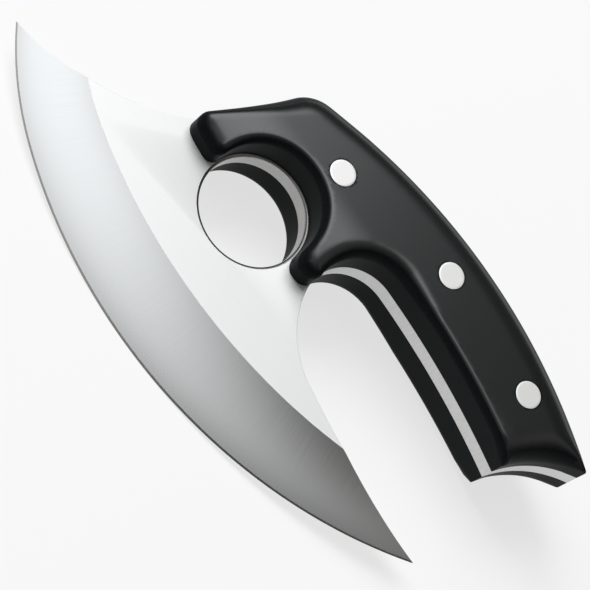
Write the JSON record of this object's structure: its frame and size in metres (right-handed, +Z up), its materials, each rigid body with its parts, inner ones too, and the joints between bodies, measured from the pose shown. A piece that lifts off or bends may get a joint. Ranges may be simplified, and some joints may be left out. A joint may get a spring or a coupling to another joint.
{
  "type": "ulu knife",
  "caption": "Ulu knife with a hollow-ground crescent blade, a finger ring and black scales riveted to a full tang.",
  "frame": {"origin": "centre of the footprint of the knife as it rests on a table, at the table's height", "axes": "+X along the blade from its free tip towards the butt, +Y from the cutting edge to the palm side, +Z up. The blade is tilted 11.9 degrees about X, its cutting edge down."},
  "size_m": [0.1526, 0.0806, 0.0267],
  "materials": {
    "blade_steel": "satin polish, with the grinding lines of the hollow bevel running from back to edge",
    "handle_scale": "smooth black composite with a low sheen",
    "rivet": "polished flush with the scales"
  },
  "bodies": {
    "root": {"blade_with_tang": "blade_steel", "top_handle_scale": "handle_scale", "bottom_handle_scale": "handle_scale", "front_rivet_tube_half": "rivet", "front_rivet_pin_half": "rivet", "middle_rivet_tube_half": "rivet", "middle_rivet_pin_half": "rivet", "rear_rivet_tube_half": "rivet", "rear_rivet_pin_half": "rivet"}
  },
  "joints": []
}
